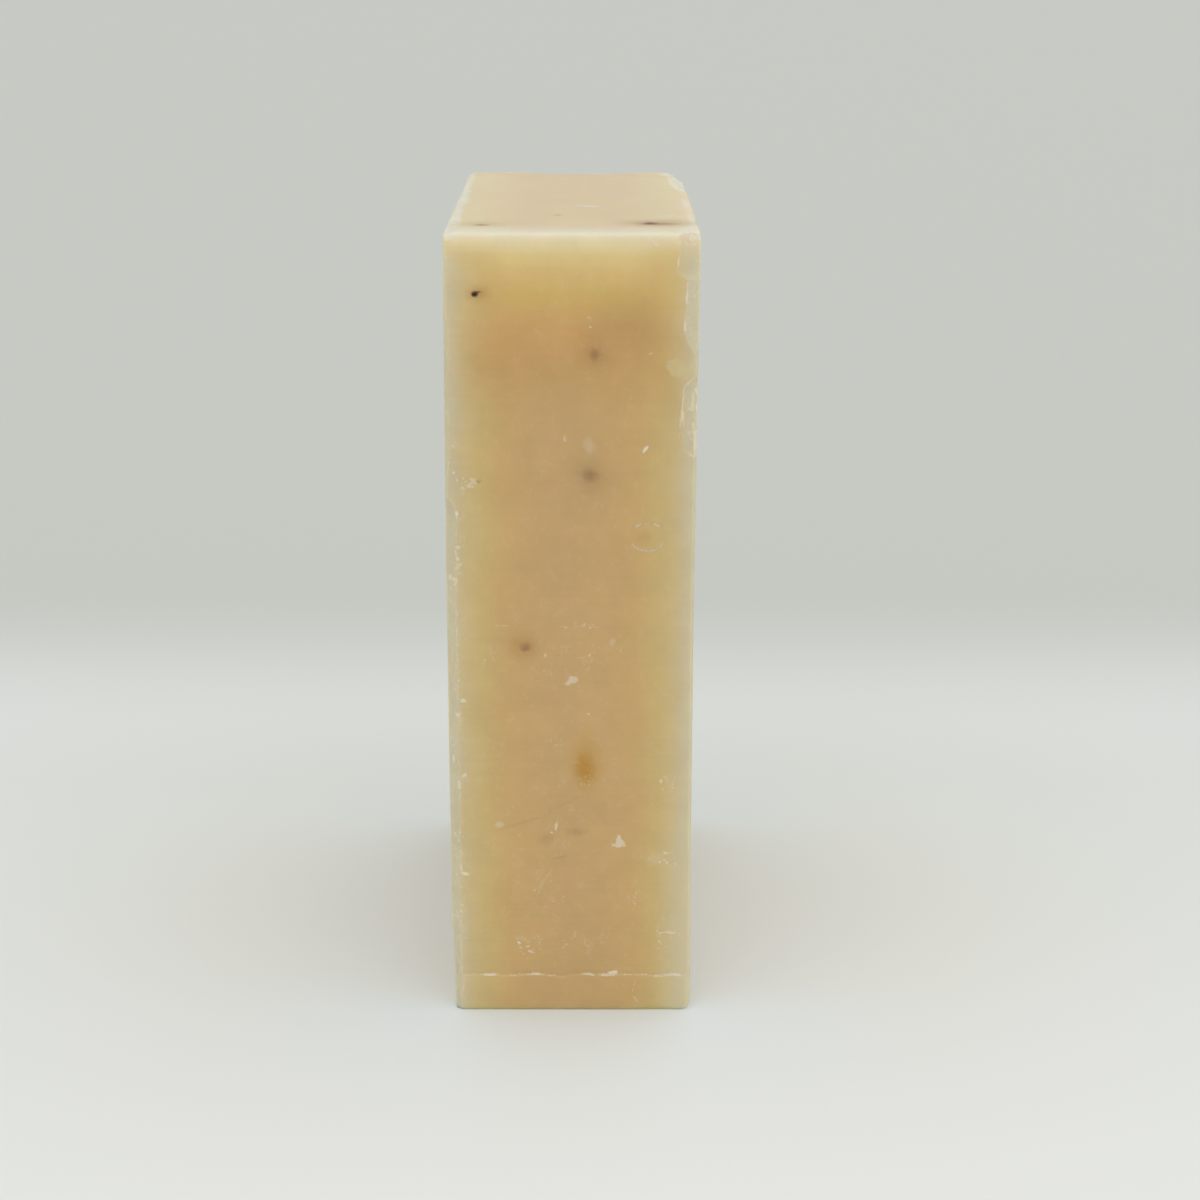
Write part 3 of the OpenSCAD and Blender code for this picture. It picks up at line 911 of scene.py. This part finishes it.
    # Thin curls that the plane lifted: level lines of a noise, here and there, where the face is dry
    swirl = add(tree, "ShaderNodeTexNoise",
                {"Vector": point, "Scale": 1 / curl_size, "Detail": 3.0, "Distortion": 0.6}).outputs[0]
    swirl = add(tree, "ShaderNodeMath", {0: swirl, 1: 0.5}, operation="SUBTRACT").outputs[0]
    swirl = add(tree, "ShaderNodeMath", {0: swirl}, operation="ABSOLUTE").outputs[0]
    curls = add(tree, "ShaderNodeMapRange", {0: swirl, 1: 0.0, 2: 0.028, 3: 1.0, 4: 0.0}).outputs[0]
    here = add(tree, "ShaderNodeTexNoise",
               {"Vector": point, "Scale": 1 / curl_patch, "Detail": 1.0}).outputs[0]
    here = add(tree, "ShaderNodeMapRange", {0: here, 1: 0.5, 2: 0.6, 3: 0.0, 4: 1.0}).outputs[0]
    curls = add(tree, "ShaderNodeMath", {0: curls, 1: here}, operation="MULTIPLY").outputs[0]
    curls = add(tree, "ShaderNodeMath", {0: curls, 1: dry_face}, operation="MULTIPLY").outputs[0]
    colour = add(tree, "ShaderNodeMix", {0: curls, 6: colour, 7: srgb(CRUMB_COLOUR)},
                 data_type="RGBA").outputs[2]
    tree.links.new(colour, shader.inputs["Base Color"])

    # Waxy faces, drier where the soap crumbles
    waxy = add(tree, "ShaderNodeMapRange", {0: mottle, 1: 0.3, 2: 0.7, 3: 0.38, 4: 0.52}).outputs[0]
    dry = add(tree, "ShaderNodeMath", {0: covered, 1: 0.3, 2: waxy}, operation="MULTIPLY_ADD").outputs[0]
    tree.links.new(dry, shader.inputs["Roughness"])

    # Relief too fine for the mesh: drag lines, wax grain and the edges of crumbs
    relief = add(tree, "ShaderNodeMath", {0: fine, 1: 0.4, 2: drag}, operation="MULTIPLY_ADD").outputs[0]
    relief = add(tree, "ShaderNodeMath", {0: covered, 1: 1.5, 2: relief},
                 operation="MULTIPLY_ADD").outputs[0]
    relief = add(tree, "ShaderNodeMath", {0: curls, 1: 3.0, 2: relief},
                 operation="MULTIPLY_ADD").outputs[0]
    bump = add(tree, "ShaderNodeBump", {"Height": relief, "Strength": 1.0, "Distance": relief_height * MM})
    tree.links.new(bump.outputs[0], shader.inputs["Normal"])

    shader.inputs["IOR"].default_value = 1.46
    shader.inputs["Subsurface Weight"].default_value = 0.8
    shader.inputs["Subsurface Radius"].default_value = (1.0, 0.6, 0.3)
    shader.inputs["Subsurface Scale"].default_value = glow_depth * MM
    return material


def matte_paper():
    """The studio's matte paper, with painted shade: a little darker behind the bar, and far out as dark as
    the room.
    """
    material = bpy.data.materials.new("matte_paper")
    material.use_nodes = True
    tree = material.node_tree
    shader = tree.nodes["Principled BSDF"]
    where = add(tree, "ShaderNodeTexCoord").outputs["Object"]
    # Painted shade: the paper darkens from the front to behind the bar, then far behind it and all round it
    back = add(tree, "ShaderNodeSeparateXYZ", {0: where}).outputs["Y"]
    near_part = add(tree, "ShaderNodeMapRange",
                    {0: back, 1: paper_near[0] * MM, 2: paper_near[1] * MM}).outputs[0]
    near_tone = add(tree, "ShaderNodeMix", {0: near_part, 6: srgb(NEAR_PAPER), 7: srgb(MIDDLE_PAPER)},
                    data_type="RGBA").outputs[2]
    far_part = add(tree, "ShaderNodeMapRange", {0: back, 1: paper_far[0] * MM, 2: paper_far[1] * MM},
                   interpolation_type="SMOOTHSTEP").outputs[0]
    reach = add(tree, "ShaderNodeVectorMath", {0: where}, operation="LENGTH").outputs["Value"]
    round_part = add(tree, "ShaderNodeMapRange", {0: reach, 1: paper_round[0] * MM, 2: paper_round[1] * MM},
                     interpolation_type="SMOOTHSTEP").outputs[0]
    far_part = add(tree, "ShaderNodeMath", {0: far_part, 1: round_part}, operation="MAXIMUM").outputs[0]
    tone = add(tree, "ShaderNodeMix", {0: far_part, 6: near_tone, 7: srgb(FAR_PAPER)},
               data_type="RGBA").outputs[2]
    # Painted shade: far out the paper darkens to the room's tone
    skyline = add(tree, "ShaderNodeMapRange",
                  {0: reach, 1: skyline_start * MM, 2: floor_half * MM, 3: 1.0, 4: skyline_tone}).outputs[0]
    tone = add(tree, "ShaderNodeMix", {0: 1.0, 6: tone, 7: skyline},
               data_type="RGBA", blend_type="MULTIPLY").outputs[2]

    # Painted cooler close to the bar, to offset the warm light that the soap throws on it
    outside = add(tree, "ShaderNodeVectorMath", {0: where}, operation="ABSOLUTE").outputs[0]
    outside = add(tree, "ShaderNodeVectorMath", {0: outside, 1: (foot_half_w * MM, half_d * MM, 0)},
                  operation="SUBTRACT").outputs[0]
    outside = add(tree, "ShaderNodeVectorMath", {0: outside, 1: (0, 0, 0)}, operation="MAXIMUM").outputs[0]
    outside = add(tree, "ShaderNodeVectorMath", {0: outside}, operation="LENGTH").outputs["Value"]
    cooler = add(tree, "ShaderNodeMapRange", {0: outside, 1: beside_reach * MM, 2: 0.0, 3: 0.0, 4: 1.0},
                 interpolation_type="SMOOTHSTEP").outputs[0]
    tone = add(tree, "ShaderNodeMix", {0: cooler, 6: tone, 7: beside_bar},
               data_type="RGBA", blend_type="MULTIPLY").outputs[2]
    tree.links.new(tone, shader.inputs["Base Color"])
    shader.inputs["Roughness"].default_value = 0.9
    shader.inputs["Specular IOR Level"].default_value = 0.2
    return material


# The studio


def floor():
    """The sheet of paper that the bar stands on, which reaches far out on every side."""
    bm = bmesh.new()
    bmesh.ops.create_grid(bm, x_segments=1, y_segments=1, size=floor_half * MM)
    mesh = bpy.data.meshes.new("floor")
    bm.to_mesh(mesh)
    bm.free()
    mesh.materials.append(matte_paper())
    sheet = bpy.data.objects.new("floor", mesh)
    bpy.context.scene.collection.objects.link(sheet)


def camera():
    """A camera where the photograph was taken from."""
    data = bpy.data.cameras.new("camera")
    data.sensor_width = 36
    data.lens = camera_lens
    data.clip_start = 0.01
    data.clip_end = 30
    shooter = bpy.data.objects.new("camera", data)
    turn = Matrix.Rotation(math.radians(camera_turn), 4, "Z")
    pitch = Matrix.Rotation(math.radians(90 - camera_drop), 4, "X")
    roll = Matrix.Rotation(math.radians(camera_roll), 4, "Z")
    shooter.matrix_world = Matrix.Translation(Vector(camera_place) * MM) @ turn @ pitch @ roll
    bpy.context.scene.collection.objects.link(shooter)
    bpy.context.scene.camera = shooter


def lights():
    """An even pale room, and one very broad soft light from above, a little to the front and the right."""
    world = bpy.data.worlds.new("studio")
    world.use_nodes = True
    background = world.node_tree.nodes["Background"]
    background.inputs["Color"].default_value = srgb(ROOM_COLOUR)
    background.inputs["Strength"].default_value = room_strength
    bpy.context.scene.world = world
    data = bpy.data.lights.new("broad_light", "SUN")
    data.angle = math.radians(broad_spread)
    data.energy = broad_strength
    lamp = bpy.data.objects.new("broad_light", data)
    lean = Matrix.Rotation(math.radians(broad_lean), 4, "X")
    lamp.matrix_world = Matrix.Rotation(math.radians(broad_side), 4, "Y") @ lean
    bpy.context.scene.collection.objects.link(lamp)


camera()
lights()
floor()
bar = soap()
bar.data.materials.append(cured_soap())
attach(bar, "root")
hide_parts("soap_bar")

bpy.context.scene.view_settings.view_transform = "Standard"
